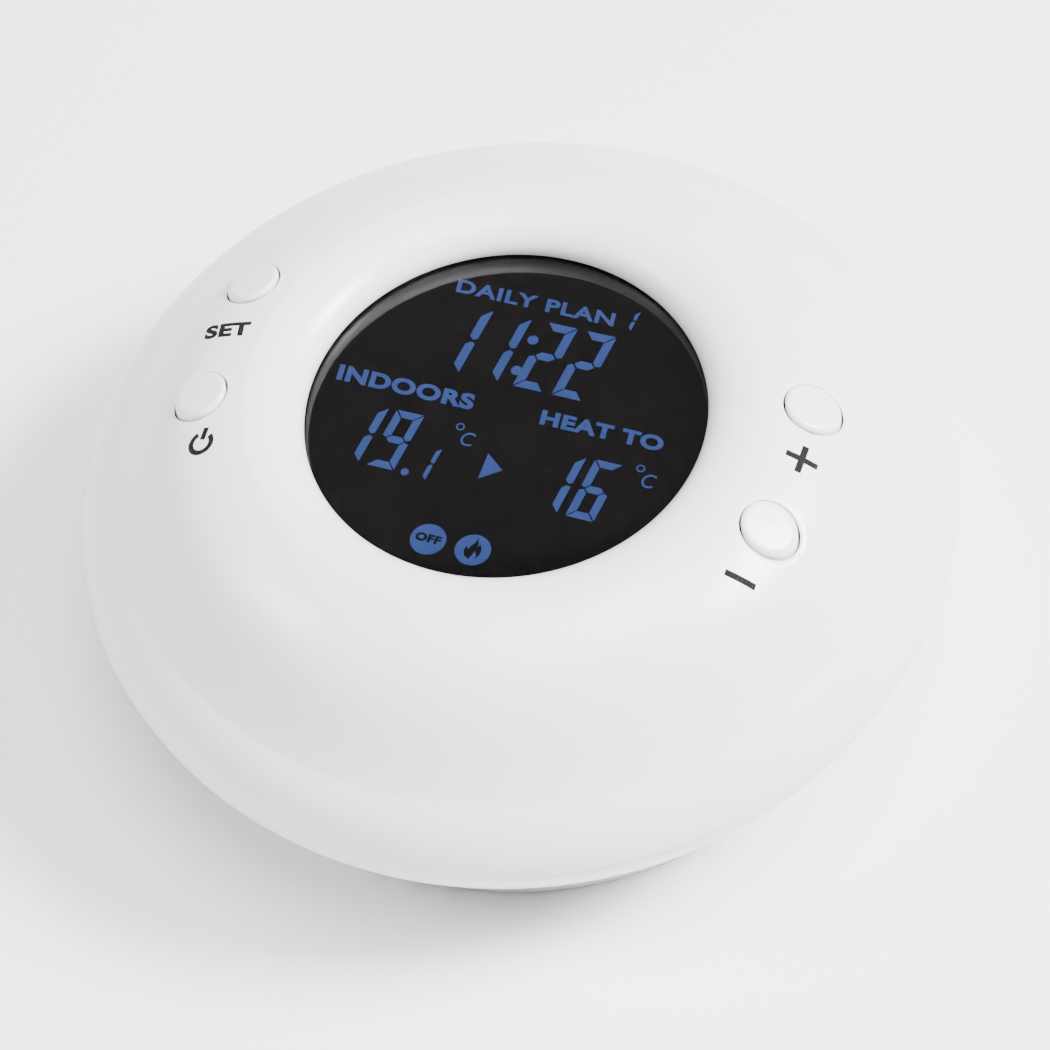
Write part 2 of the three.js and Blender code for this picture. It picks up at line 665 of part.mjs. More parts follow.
// ---------------------------------------------------------------- buttons and switches
function buttonCap(at) {
  const surface = crownAt(BUTTON_RING_R);
  const top = surface.z + BUTTON_PROUD;
  const flangeR = BUTTON_R + FLANGE_OUT;
  const outline = [
    point(0, CAP_BASE),
    point(flangeR, CAP_BASE),
    point(flangeR, CAP_BASE + FLANGE_T),
    point(BUTTON_R, CAP_BASE + FLANGE_T),
    point(BUTTON_R, top - BUTTON_EDGE),
    point(BUTTON_R - 0.3 * BUTTON_EDGE, top - 0.3 * BUTTON_EDGE),
    point(BUTTON_R - BUTTON_EDGE, top),
    point(0, top + BUTTON_CROWN),
  ];
  const cap = turned(outline, SMALL_ROUND);
  const positions = cap.attributes.position;
  // The top follows the crown's slope; the flange stays level.
  const level = CAP_BASE + FLANGE_T + GAP;
  for (let i = 0; i < positions.count; i += 1) {
    if (positions.getZ(i) > level) {
      positions.setZ(i, positions.getZ(i) + surface.slope * positions.getX(i));
    }
  }
  return cap.rotateZ(degrees(at.angle)).translate(at.x, at.y, 0);
}

function switchBody(at) {
  const half = SWITCH_SIDE / 2;
  const base = BOARD_TOP + GAP;
  const body = toSolid(block(-half, half, -half, half, base, SWITCH_TOP));
  const bore = toSolid(disc(PLUNGER_R + GAP, base + SWITCH_FLOOR, SWITCH_TOP + BITE, 0, 0, 16));
  return toGeometry(body.subtract(bore)).translate(at.x, at.y, 0);
}

function plunger(at) {
  return disc(PLUNGER_R, PLUNGER_TOP - PLUNGER_L, PLUNGER_TOP, at.x, at.y, 16);
}

// ---------------------------------------------------------------- screws
// A screw that points up, its head at the bottom with a cross slot in its underside.
function screw(headR, shankR, headBase, headTop, tip, at) {
  const head = toSolid(disc(headR, headBase, headTop, 0, 0, 16));
  const shank = toSolid(disc(shankR, headTop - SLOT_DEEP / 2, tip, 0, 0, 12));
  const arm = headR * SLOT_SHARE;
  const half = SLOT_W / 2;
  const deep = headBase + SLOT_DEEP;
  const along = toSolid(block(-arm, arm, -half, half, headBase - BITE, deep));
  const across = toSolid(block(-half, half, -arm, arm, headBase - BITE, deep));
  return toGeometry(head.add(shank).subtract(along).subtract(across)).translate(at.x, at.y, 0);
}

function caseScrew(at) {
  const headTop = WELL_TOP - GAP;
  const tip = PART_Z + CASE_SCREW_BITE;
  return screw(SCREW_HEAD_R, CASE_SCREW_R, headTop - SCREW_HEAD_T, headTop, tip, at);
}

function boardScrew(at) {
  const headTop = BOARD_BASE - GAP;
  const tip = BOARD_BASE + BOARD_SCREW_L;
  return screw(BOARD_HEAD_R, BOARD_SCREW_R, headTop - BOARD_HEAD_T, headTop, tip, at);
}

// ---------------------------------------------------------------- assembly
add("front_shell", frontShell(), whitePlastic());
add("rear_shell", rearShell(), whitePlastic());
add("battery_door", batteryDoor(), whitePlastic());

add("display_window", disc(WINDOW_R, WINDOW_TOP - WINDOW_T, WINDOW_TOP, 0, 0, ROUND), darkWindow());
add("lcd_panel", lcdPanel(), displayGlass());
add("display_carrier", displayCarrier(), innerPlastic());
add("light_guide", lightGuide(), clearAcrylic());
add("backlight_led_left", backlight(-1), clearAcrylic());
add("backlight_led_right", backlight(1), clearAcrylic());
add("connector_strip_upper", connectorStrip(1), connectorRubber());
add("connector_strip_lower", connectorStrip(-1), connectorRubber());

add("main_board", board(), boardLaminate());
add("microcontroller", chip(CONTROLLER), chipPlastic());
add("radio_module", chip(RADIO), nickel());
add("antenna_coil", antenna(), copper());
add("timing_crystal", chip(CRYSTAL), steel());
add("smoothing_capacitor", capacitor(), chipPlastic());
add("temperature_sensor", sensor(), sensorResin());

buttons.forEach((at, i) => {
  const name = buttonNames[i];
  add(`button_${name}`, buttonCap(at), whitePlastic());
  add(`switch_${name}`, switchBody(at), chipPlastic());
  add(`switch_plunger_${name}`, plunger(at), chipPlastic());
});

add("battery_cell_upper", cell(CELL_Y, 1), cellWrap());
add("battery_cell_lower", cell(-CELL_Y, -1), cellWrap());
add("battery_spring_left", spring(CELL_Y, -1), nickel());
add("battery_spring_right", spring(-CELL_Y, 1), nickel());
add("battery_terminal_upper", terminal(CELL_Y), nickel());
add("battery_terminal_lower", terminal(-CELL_Y), nickel());
add("battery_bridge", bridge(), nickel());

caseScrews.forEach((at, i) => add(`case_screw_${i + 1}`, caseScrew(at), steel()));
boardScrews.forEach((at, i) => add(`board_screw_${i + 1}`, boardScrew(at), steel()));

export default model;
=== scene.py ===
"""Round programmable room controller: fine surfaces, finishes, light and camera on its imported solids.

Metres. +Z points out of the display, +Y to 12 o'clock, and the foot ring stands on z = 0.
"""

import json
from math import asin, atan2, cos, degrees, hypot, pi, radians, sin, sqrt

import bmesh
import bpy
from mathutils import Matrix, Vector


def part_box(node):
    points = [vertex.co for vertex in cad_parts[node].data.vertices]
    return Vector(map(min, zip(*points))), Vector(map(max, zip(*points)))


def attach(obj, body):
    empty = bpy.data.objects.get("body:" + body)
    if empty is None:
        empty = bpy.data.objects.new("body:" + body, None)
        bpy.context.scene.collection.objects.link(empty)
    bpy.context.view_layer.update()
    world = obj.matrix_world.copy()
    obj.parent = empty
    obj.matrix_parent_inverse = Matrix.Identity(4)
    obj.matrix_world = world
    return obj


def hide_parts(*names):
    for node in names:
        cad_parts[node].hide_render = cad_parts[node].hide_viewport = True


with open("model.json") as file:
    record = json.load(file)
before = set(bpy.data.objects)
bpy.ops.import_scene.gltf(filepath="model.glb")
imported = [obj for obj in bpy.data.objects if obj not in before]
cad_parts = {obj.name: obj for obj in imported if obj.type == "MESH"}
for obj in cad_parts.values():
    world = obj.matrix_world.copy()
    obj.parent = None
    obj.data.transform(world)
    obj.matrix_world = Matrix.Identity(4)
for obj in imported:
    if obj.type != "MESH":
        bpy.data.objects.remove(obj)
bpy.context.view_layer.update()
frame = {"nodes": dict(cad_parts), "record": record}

MM = 0.001
GAP = 0.3 * MM  # air between two pieces that touch

# ---------------------------------------------------------------- sizes taken from the solids
front_low, front_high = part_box("front_shell")
window_low, window_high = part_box("display_window")
glass_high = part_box("lcd_panel")[1]
door_low, door_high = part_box("battery_door")
foot_mount = Vector(frame["record"]["mounts"][0]["pos_m"])

BRIM_R = front_high.x
PART_Z = front_low.z - GAP / 2
CREST_Z = front_high.z
WINDOW_R = window_high.x
WINDOW_TOP = window_high.z
GLASS_TOP = glass_high.z

# case, in the same proportions as its solid
WALL = 2.2 * MM
CREST_R = BRIM_R - 25.5 * MM
CREASE_R = BRIM_R - 5.6 * MM
CREASE_Z = PART_Z + 9.3 * MM
CREST_FLAT = 12 * MM
CREST_FALL = 2.8 * MM
SKIRT_STEEP = 6.5 * MM
SKIRT_LEAN = 6.4 * MM
BRIM_SWELL = 4.5 * MM
BRIM_FALL = 2 * MM
APERTURE_R = WINDOW_R - 2.4 * MM
LIP_EDGE = 0.6 * MM
LIP_Z = WINDOW_TOP + GAP + LIP_EDGE
LIP_DROP = CREST_Z - LIP_Z
FOOT_RING = 2.4 * MM
FOOT_R = foot_mount.xy.length + FOOT_RING / 2
FOOT_H = 5 * MM
FOOT_TAPER = 0.9 * MM
BOWL_STEEP = 7 * MM
BOWL_LEAN = 2.4 * MM
FLOOR_Z = door_high.z + GAP
FLOOR_T = 2 * MM
TONGUE = 1.2 * MM
TONGUE_RISE = 2.4 * MM

# buttons
BUTTONS = ("plus", "minus", "set", "power")
BUTTON_R = 3.65 * MM
HOLE_R = 3.9 * MM
HOLE_EDGE = 0.2 * MM
HOLE_EDGE_STEPS = 4
CAP_PROUD = 0.55 * MM
CAP_EDGE = 0.8 * MM
FLANGE_T = 0.9 * MM

COLUMNS = 360  # facets round the front shell: one a degree, so that one passes through each button
HOLE_COLUMNS = 6  # columns and rows from the middle of a button to the edge of its hole


# ---------------------------------------------------------------- finishes
class Field:
    """A value that varies over a surface, which Python arithmetic works on."""

    def __init__(self, finish, socket):
        self.finish = finish
        self.socket = socket

    def _with(self, operation, first, second):
        return self.finish.node("Math", {"operation": operation}, {0: first, 1: second})

    def __add__(self, other):
        return self._with("ADD", self, other)

    def __sub__(self, other):
        return self._with("SUBTRACT", self, other)

    def __rsub__(self, other):
        return self._with("SUBTRACT", other, self)

    def __mul__(self, other):
        return self._with("MULTIPLY", self, other)

    __radd__ = __add__
    __rmul__ = __mul__


class Finish:
    """A material, with one call for each node."""

    def __init__(self, name):
        self.material = bpy.data.materials.new(name)
        self.material.use_nodes = True
        self.tree = self.material.node_tree
        self.shader = self.tree.nodes["Principled BSDF"]

    def put(self, value, socket):
        if isinstance(value, Field):
            self.tree.links.new(value.socket, socket)
        else:
            socket.default_value = value

    def node(self, kind, settings=None, inputs=None, output=0):
        made = self.tree.nodes.new("ShaderNode" + kind)
        for name, value in (settings or {}).items():
            if name == "stops":
                for stop, (place, level) in zip(made.color_ramp.elements, value):
                    stop.position = place
                    stop.color = (level, level, level, 1)
            else:
                setattr(made, name, value)
        for key, value in (inputs or {}).items():
            self.put(value, made.inputs[key])
        return Field(self, made.outputs[output])

    def place(self):
        return self.node("TexCoord", output="Object")

    def noise(self, size, detail=2.0, stretch=None):
        """Cloudy noise from 0 to 1, with lumps about that size."""
        vector = self.place()
        if stretch:
            vector = self.node("Mapping", inputs={"Vector": vector, "Scale": stretch})
        return self.node("TexNoise", inputs={"Vector": vector, "Scale": 1 / size, "Detail": detail})

    def ramp(self, value, *stops):
        return self.node("ValToRGB", {"stops": stops}, {"Fac": value})

    def blend(self, factor, first, second):
        mix = {"data_type": "RGBA"}
        return self.node("Mix", mix, {0: factor, 6: (*first, 1), 7: (*second, 1)}, output=2)

    def bump(self, height, depth, strength=1.0):
        settings = {"Height": height, "Distance": depth, "Strength": strength}
        self.set(Normal=self.node("Bump", inputs=settings))

    def set(self, **values):
        for name, value in values.items():
            self.put(value, self.shader.inputs[name.replace("_", " ")])
        return self


def case_plastic(name, shade=0.8):
    """Satin moulded plastic: fine spark texture, faint cloudiness and a few dull handling marks."""
    finish = Finish(name)
    clouds = finish.noise(9 * MM, 3)
    marks = finish.ramp(finish.noise(3 * MM, 4), (0.55, 0), (0.75, 1))
    grain = finish.noise(0.35 * MM, 2)
    light = (shade, shade * 0.995, shade * 0.985)
    dark = (shade * 0.965, shade * 0.962, shade * 0.958)
    finish.set(Base_Color=finish.blend(clouds, dark, light))
    finish.set(Roughness=0.25 + clouds * 0.06 + marks * 0.05)
    finish.bump(grain, 0.012 * MM, 0.35)
    return finish.material


def window_tint():
    """Clear gloss window, smoke tinted, with the faintest wipe marks."""
    finish = Finish("window_tint")
    wipes = finish.noise(14 * MM, 3, stretch=(1, 0.3, 1))
    finish.set(Base_Color=finish.blend(wipes, (0.60, 0.59, 0.60), (0.64, 0.62, 0.61)))
    finish.set(Roughness=0.015 + wipes * 0.03)
    finish.set(Transmission_Weight=1.0, IOR=1.49, Specular_IOR_Level=0.12)
    return finish.material


def display_glass():
    """Dark display cell: almost black, a little warmer and lighter where its liquid lies unevenly."""
    finish = Finish("display_glass")
    clouds = finish.noise(18 * MM, 3)
    finish.set(Base_Color=finish.blend(clouds, (0.004, 0.003, 0.004), (0.010, 0.007, 0.007)))
    finish.set(Roughness=0.16 + clouds * 0.08, IOR=1.5, Specular_IOR_Level=0.08)
    return finish.material


def lit_figures():
    """Backlit figures: blue, slightly uneven across the light guide."""
    finish = Finish("lit_figures")
    glow = finish.noise(7 * MM, 2)
    blue = finish.blend(glow, (0.062, 0.14, 0.53), (0.08, 0.17, 0.63))
    finish.set(Base_Color=(0.005, 0.008, 0.02, 1), Emission_Color=blue, Emission_Strength=1.0)
    finish.set(Roughness=0.3 + glow * 0.1)
    return finish.material


def legend_ink():
    """Printed legend: near-black ink with pinholes and a soft sheen."""
    finish = Finish("legend_ink")
    specks = finish.ramp(finish.noise(0.25 * MM, 3), (0.58, 0), (0.72, 1))
    finish.set(Base_Color=finish.blend(specks, (0.008, 0.008, 0.009), (0.05, 0.05, 0.05)))
    finish.set(Roughness=0.75 + specks * 0.15, Specular_IOR_Level=0.1)
    return finish.material


def mottled(name, dark, light, size, roughness, metallic=0.0, grain=0.2 * MM, depth=0.01 * MM):
    """A plain finish with cloudy colour and a fine grain."""
    finish = Finish(name)
    clouds = finish.noise(size, 3)
    finish.set(Base_Color=finish.blend(clouds, dark, light), Metallic=metallic)
    finish.set(Roughness=roughness + clouds * 0.1)
    finish.bump(finish.noise(grain, 2), depth, 0.4)
    return finish.material


def brushed(name, dark, light):
    """Rolled metal strip, with fine lines along it."""
    finish = Finish(name)
    lines = finish.noise(0.6 * MM, 3, stretch=(0.15, 1, 1))
    finish.set(Base_Color=finish.blend(lines, dark, light), Metallic=1.0)
    finish.set(Roughness=0.22 + lines * 0.18)
    finish.bump(lines, 0.008 * MM, 0.5)
    return finish.material


def clear_acrylic():
    """Light guide and lamp bodies: milky clear."""
    finish = Finish("clear_acrylic")
    clouds = finish.noise(4 * MM, 2)
    finish.set(Base_Color=finish.blend(clouds, (0.72, 0.76, 0.82), (0.82, 0.86, 0.9)))
    finish.set(Roughness=0.12 + clouds * 0.1, Transmission_Weight=0.6, IOR=1.49)
    return finish.material


def board_laminate():
    """Green lacquer over glass cloth, its weave just showing."""
    finish = Finish("board_laminate")
    weave = finish.node("TexWave", {"bands_direction": "X"}, {"Vector": finish.place(), "Scale": 400.0})
    weft = finish.node("TexWave", {"bands_direction": "Y"}, {"Vector": finish.place(), "Scale": 400.0})
    cloth = weave * 0.5 + weft * 0.5
    finish.set(Base_Color=finish.blend(cloth, (0.008, 0.07, 0.025), (0.012, 0.10, 0.038)))
    finish.set(Roughness=0.3 + cloth * 0.1)
    finish.bump(cloth, 0.01 * MM, 0.4)
    return finish.material


def every_finish():
    return {
        "case_white": case_plastic("case_white"),
        "window_tint": window_tint(),
        "display_glass": display_glass(),
        "display_frame": case_plastic("display_frame", 0.62),
        "clear_acrylic": clear_acrylic(),
        "connector_rubber": mottled(
            "connector_rubber", (0.05, 0.05, 0.055), (0.09, 0.09, 0.095), 1.5 * MM, 0.7
        ),
        "board_laminate": board_laminate(),
        "chip_plastic": mottled("chip_plastic", (0.010, 0.010, 0.011), (0.02, 0.02, 0.022), 2 * MM, 0.5),
        "screw_steel": mottled(
            "screw_steel", (0.42, 0.43, 0.45), (0.56, 0.57, 0.58), 1.2 * MM, 0.25, metallic=1.0
        ),
        "contact_nickel": brushed("contact_nickel", (0.52, 0.50, 0.46), (0.66, 0.64, 0.60)),
        "antenna_copper": brushed("antenna_copper", (0.50, 0.22, 0.10), (0.66, 0.32, 0.16)),
        "cell_wrap": mottled("cell_wrap", (0.02, 0.05, 0.16), (0.03, 0.08, 0.22), 12 * MM, 0.3),
        "sensor_resin": mottled("sensor_resin", (0.015, 0.014, 0.014), (0.03, 0.028, 0.027), 1 * MM, 0.35),
    }


FINISHES = every_finish()
FIGURES = lit_figures()
INK = legend_ink()


def finish_solids():
    """Gives each carried-over solid the finish of its material slot."""
    for part in frame["record"]["subparts"]:
        mesh = frame["nodes"][part["node"]].data
        mesh.materials.clear()
        mesh.materials.append(FINISHES[part["material_slot"]])


# ---------------------------------------------------------------- making pieces
def piece(name, bm, body, material, stands_for=(), crease=35):
    """Turns a bmesh into a smooth-shaded piece that rides on a body."""
    mesh = bpy.data.meshes.new(name)
    bm.to_mesh(mesh)
    bm.free()
    mesh.polygons.foreach_set("use_smooth", [True] * len(mesh.polygons))
    mesh.set_sharp_from_angle(angle=radians(crease))
    made = bpy.data.objects.new(name, mesh)
    bpy.context.scene.collection.objects.link(made)
    mesh.materials.append(material)
    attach(made, body)
    if stands_for:
        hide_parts(*stands_for)
    return made


def spin_round(bm, outline, steps, centre=(0, 0)):
    """Turns a closed outline of (radius, height) points round an upright axis."""
    corners = [bm.verts.new((centre[0] + r, centre[1], z)) for r, z in outline]
    edges = [bm.edges.new(pair) for pair in zip(corners, corners[1:] + corners[:1])]
    bmesh.ops.spin(
        bm,
        geom=corners + edges,
        cent=(*centre, 0),
        axis=(0, 0, 1),
        angle=2 * pi,
        steps=steps,
        use_merge=True,
    )
    bmesh.ops.remove_doubles(bm, verts=bm.verts, dist=1e-3 * MM)
    bmesh.ops.dissolve_degenerate(bm, edges=bm.edges, dist=1e-3 * MM)
    bmesh.ops.recalc_face_normals(bm, faces=bm.faces)


def cuboid(bm, low, high):
    """A box between two corners."""
    size = Vector(high) - Vector(low)
    middle = (Vector(high) + Vector(low)) / 2
    place = Matrix.Translation(middle) @ Matrix.Diagonal((*size, 1))
    return bmesh.ops.create_cube(bm, size=1, matrix=place)["verts"]


def pull(bm, face, way):
    """Draws a face out into a prism."""
    made = bmesh.ops.extrude_face_region(bm, geom=[face])["geom"]
    moved = [vert for vert in made if isinstance(vert, bmesh.types.BMVert)]
    bmesh.ops.translate(bm, vec=way, verts=moved)
    bmesh.ops.recalc_face_normals(bm, faces=bm.faces)


def carved(bm, cutters):
    """The closed shape with the cutters taken out of it."""
    objects = []
    for label, source in (("body", bm), ("cutter", cutters)):
        mesh = bpy.data.meshes.new(label)
        source.to_mesh(mesh)
        source.free()
        made = bpy.data.objects.new(label, mesh)
        bpy.context.scene.collection.objects.link(made)
        objects.append(made)
    body, cutter = objects
    cut = body.modifiers.new("cut", "BOOLEAN")
    cut.object = cutter
    cut.operation = "DIFFERENCE"
    cut.solver = "EXACT"
    seen = body.evaluated_get(bpy.context.evaluated_depsgraph_get())
    result = bmesh.new()
    result.from_mesh(seen.to_mesh())
    for made in objects:
        bpy.data.objects.remove(made)
    return result


def arc(centre, radius, start, end, steps):
    """Points of an arc, angles in degrees."""
    turns = [radians(start + (end - start) * i / steps) for i in range(steps + 1)]
    return [(centre[0] + radius * cos(t), centre[1] + radius * sin(t)) for t in turns]


def bezier(controls, t):
    a, b, c, d = controls
    s = 1 - t
    weights = (s * s * s, 3 * s * s * t, 3 * s * t * t, t * t * t)
    return tuple(sum(w * p[i] for w, p in zip(weights, (a, b, c, d))) for i in (0, 1))


def along(controls, steps):
    return [bezier(controls, i / steps) for i in range(steps + 1)]


# ---------------------------------------------------------------- front shell
CROWN = (
    (CREASE_R, CREASE_Z),
    (CREASE_R - SKIRT_LEAN, CREASE_Z + SKIRT_STEEP),
    (CREST_R + CREST_FLAT, CREST_Z - CREST_FALL),
    (CREST_R, CREST_Z),
)
BRIM = (
    (BRIM_R, PART_Z + GAP / 2),
    (BRIM_R, PART_Z + BRIM_SWELL),
    ((BRIM_R + CREASE_R) / 2, CREASE_Z - BRIM_FALL),
    (CREASE_R, CREASE_Z),
)


def crown_height(radius):
    low, high = 0.0, 1.0
    for _ in range(40):
        middle = (low + high) / 2
        if bezier(CROWN, middle)[0] > radius:
            low = middle
        else:
            high = middle
    return bezier(CROWN, low)[1]


def lip_height(radius):
    across = (CREST_R - radius) / (CREST_R - APERTURE_R)
    return LIP_Z + LIP_DROP * sqrt(max(0.0, 1 - across * across))


def top_height(radius):
    """Height of the shell's upper surface from the display opening out to the crease."""
    return crown_height(radius) if radius > CREST_R else lip_height(radius)


def button_place(name):
    low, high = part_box("button_" + name)
    return ((low + high) / 2).xy


def front_outline():
    ring = button_place(BUTTONS[0]).length
    reach = HOLE_R + HOLE_EDGE
    rows = [ring + reach * k / HOLE_COLUMNS for k in range(2 * HOLE_COLUMNS, -2 * HOLE_COLUMNS - 1, -1)]
    skirt = [p for p in along(CROWN, 60) if p[0] > rows[0] + 0.2 * MM]
    start = asin(1 - (rows[-1] - APERTURE_R) / (CREST_R - APERTURE_R))
    turns = [start + (pi / 2 - start) * i / 14 for i in range(1, 15)]
    lip = [
        (APERTURE_R + (CREST_R - APERTURE_R) * (1 - sin(t)), LIP_Z + LIP_DROP * cos(t)) for t in turns
    ]
    edge = arc((APERTURE_R + 0.15 * MM, LIP_Z - LIP_EDGE + 0.15 * MM), 0.15 * MM, 180, 270, 3)
    rim = arc((BRIM_R - 0.2 * MM, PART_Z + GAP / 2 + 0.2 * MM), 0.2 * MM, -90, 0, 4)
    outer = rim + along(BRIM, 18)[2:-1] + skirt + [(r, top_height(r)) for r in rows] + lip
    under = edge + [(WINDOW_R + 2 * GAP, LIP_Z - LIP_EDGE)]
    inner = [(r, top_height(r) - WALL) for r in reversed(rows)]
    foot = [
        (CREASE_R - WALL, CREASE_Z),
        (BRIM_R - WALL, PART_Z + BRIM_SWELL - WALL),
        (BRIM_R - WALL, PART_Z + GAP / 2),
    ]
    return outer + under + inner + foot


def hole_coordinates(point, place):
    """Steps round and outwards from a button's centre, 1 at the edge of its hole."""
    angle = degrees(atan2(point.y, point.x) - atan2(place.y, place.x))
    angle = (angle + 180) % 360 - 180
    outwards = (point.xy.length - place.length) / (HOLE_R + HOLE_EDGE)
    return angle * COLUMNS / 360 / HOLE_COLUMNS, outwards


def round_the_hole(bm, place):
    """Draws the square grid round a button into circles and takes out what lies inside."""
    reach = HOLE_R + HOLE_EDGE
    outward = place.normalized()
    across = Vector((-outward.y, outward.x))
    gone = []
    for face in bm.faces:
        u, v = hole_coordinates(face.calc_center_median(), place)
        if max(abs(u), abs(v)) < 1:
            gone.append(face)
    for vert in bm.verts:
        u, v = hole_coordinates(vert.co, place)
        square = max(abs(u), abs(v))
        if not 0.99 < square < 2:
            continue
        under = top_height(vert.co.xy.length) - vert.co.z
        circle = place + (across * u + outward * v) * (reach * square / hypot(u, v))
        share = max(0.0, square - 1)
        share = share * share * (3 - 2 * share)
        spot = circle.lerp(vert.co.xy, share)
        vert.co = (spot.x, spot.y, top_height(spot.length) - under)
    bmesh.ops.delete(bm, geom=gone, context="FACES")


def line_the_hole(bm, place):
    """Rounds the hole's upper edge and joins it to the shell's inner wall."""
    reach = HOLE_R + HOLE_EDGE
    upper, lower = [], []
    for edge in bm.edges:
        middle = (edge.verts[0].co + edge.verts[1].co) / 2
        if edge.is_boundary and (middle.xy - place).length < 1.1 * reach:
            inside = middle.z < top_height(middle.xy.length) - WALL / 2
            (lower if inside else upper).append(edge)
    for i in range(1, HOLE_EDGE_STEPS + 1):
        turn = pi / 2 * i / HOLE_EDGE_STEPS
        radius = HOLE_R + HOLE_EDGE * (1 - sin(turn))
        drop = HOLE_EDGE * (1 - cos(turn))
        made = bmesh.ops.extrude_edge_only(bm, edges=upper)["geom"]
        for vert in made:
            if isinstance(vert, bmesh.types.BMVert):
                away = (vert.co.xy - place).normalized()
                spot = place + away * radius
                level = top_height((place + away * reach).length)
                vert.co = (spot.x, spot.y, level - drop)
        upper = [part for part in made if isinstance(part, bmesh.types.BMEdge)]
    bmesh.ops.bridge_loops(bm, edges=upper + lower)


def front_shell():
    bm = bmesh.new()
    spin_round(bm, front_outline(), COLUMNS)
    for name in BUTTONS:
        round_the_hole(bm, button_place(name))
    for name in BUTTONS:
        line_the_hole(bm, button_place(name))
    bmesh.ops.recalc_face_normals(bm, faces=bm.faces)
    piece(
        "front_shell_moulding",
        bm,
        "case",
        FINISHES["case_white"],
        ["front_shell"],
        crease=50,
    )


# ---------------------------------------------------------------- rear shell
def rear_outline():
    bowl = (
        (FOOT_R + FOOT_TAPER, FOOT_H),
        (FOOT_R + FOOT_TAPER + BOWL_LEAN, FOOT_H + BOWL_STEEP),
        (BRIM_R - GAP, PART_Z - BOWL_STEEP),
        (BRIM_R - GAP, PART_Z - GAP / 2),
    )
    tongue_r = BRIM_R - WALL - GAP
    inner = [(r - WALL, z + WALL / 3) for r, z in reversed(along(bowl, 16)[1:-3])]
    edge = 0.4 * MM
    foot = [
        *arc((FOOT_R - FOOT_RING + edge, edge), edge, 180, 270, 4),
        *arc((FOOT_R - edge, edge), edge, -90, 0, 4),
    ]
    return [
        (0, FLOOR_Z),
        (FOOT_R - FOOT_RING, FLOOR_Z),
        *foot,
        *along(bowl, 24)[:-1],
        (BRIM_R - GAP, PART_Z - GAP / 2 - 0.15 * MM),
        (BRIM_R - GAP - 0.15 * MM, PART_Z - GAP / 2),
        (tongue_r, PART_Z - GAP / 2),
        (tongue_r, PART_Z + TONGUE_RISE),
        (tongue_r - TONGUE, PART_Z + TONGUE_RISE),
        (tongue_r - TONGUE, PART_Z - TONGUE_RISE),
        *inner,
        (FOOT_R - FOOT_RING, FLOOR_Z + FLOOR_T),
        (0, FLOOR_Z + FLOOR_T),
    ]


VENT_COUNT = 3
VENT_PITCH = 6.4
VENT_TOP_W = 1.1 * MM
VENT_FOOT_W = 2.3 * MM
VENT_H = 7.5 * MM


def vent_cutters(bm):
    """Slots through the foot at 6 o'clock, wider towards the foot's edge."""
    for i in range(VENT_COUNT):
        turn = Matrix.Rotation(radians((i - (VENT_COUNT - 1) / 2) * VENT_PITCH), 4, "Z")
        low = (-VENT_FOOT_W / 2, -FOOT_R - 3 * FOOT_RING, -MM)
        high = (VENT_FOOT_W / 2, -FOOT_R + FOOT_RING + MM, VENT_H)
        verts = cuboid(bm, low, high)
        for vert in verts:
            if vert.co.z > 0:
                vert.co.x *= VENT_TOP_W / VENT_FOOT_W
        bmesh.ops.transform(bm, matrix=turn, verts=verts)


KEYHOLE_X = 19 * MM
KEYHOLE_Y = 26 * MM
KEYHOLE_R = 4 * MM
KEYHOLE_SLOT_R = 2 * MM
KEYHOLE_RUN = 7 * MM


def column(bm, centre, radius, low, high, segments=48):
    """An upright solid disc."""
    place = Matrix.Translation((*centre, (low + high) / 2))
    bmesh.ops.create_cone(
        bm,
        cap_ends=True,
        segments=segments,
        radius1=radius,
        radius2=radius,
        depth=high - low,
        matrix=place,
    )


def keyhole_cutter(x, base, top):
    """Outline of an eye with a narrower slot above it, as one closed prism."""
    bm = bmesh.new()
    meet = degrees(asin(KEYHOLE_SLOT_R / KEYHOLE_R))
    eye = arc((x, KEYHOLE_Y), KEYHOLE_R, 90 + meet, 450 - meet, 40)
    end = arc((x, KEYHOLE_Y + KEYHOLE_RUN), KEYHOLE_SLOT_R, 0, 180, 16)
    ring = [bm.verts.new((*spot, base)) for spot in eye + end]
    face = bm.faces.new(ring)
    pull(bm, face, (0, 0, top - base))
    return bm


def bay_box():
    """The battery bay's opening in the floor, from the contacts and cells in it."""
    bridge_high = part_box("battery_bridge")[1]
    cell_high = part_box("battery_cell_upper")[1]
    half_x = bridge_high.x + GAP
    half_y = cell_high.y + 0.8 * MM
    top = bridge_high.z + GAP
    return half_x, half_y, top


def screw_places():
    places = []
    for i in range(1, 5):
        low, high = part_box(f"case_screw_{i}")
        places.append((((low + high) / 2).xy, (high - low).x / 2, low.z))
    return places


def rear_shell():
    half_x, half_y, _ = bay_box()
    base, top = FLOOR_Z - MM, FLOOR_Z + FLOOR_T + MM
    bm = bmesh.new()
    spin_round(bm, rear_outline(), 240)
    cutters = bmesh.new()
    vent_cutters(cutters)
    cuboid(cutters, (-half_x, -half_y, base), (half_x, half_y, top))
    for centre, radius, _ in screw_places():
        column(cutters, centre, radius + GAP, base, top)
    bm = carved(bm, cutters)
    for side in (-1, 1):
        bm = carved(bm, keyhole_cutter(side * KEYHOLE_X, base, top))
    piece(
        "rear_shell_moulding",
        bm,
        "case",
        FINISHES["case_white"],
        ["rear_shell"],
    )


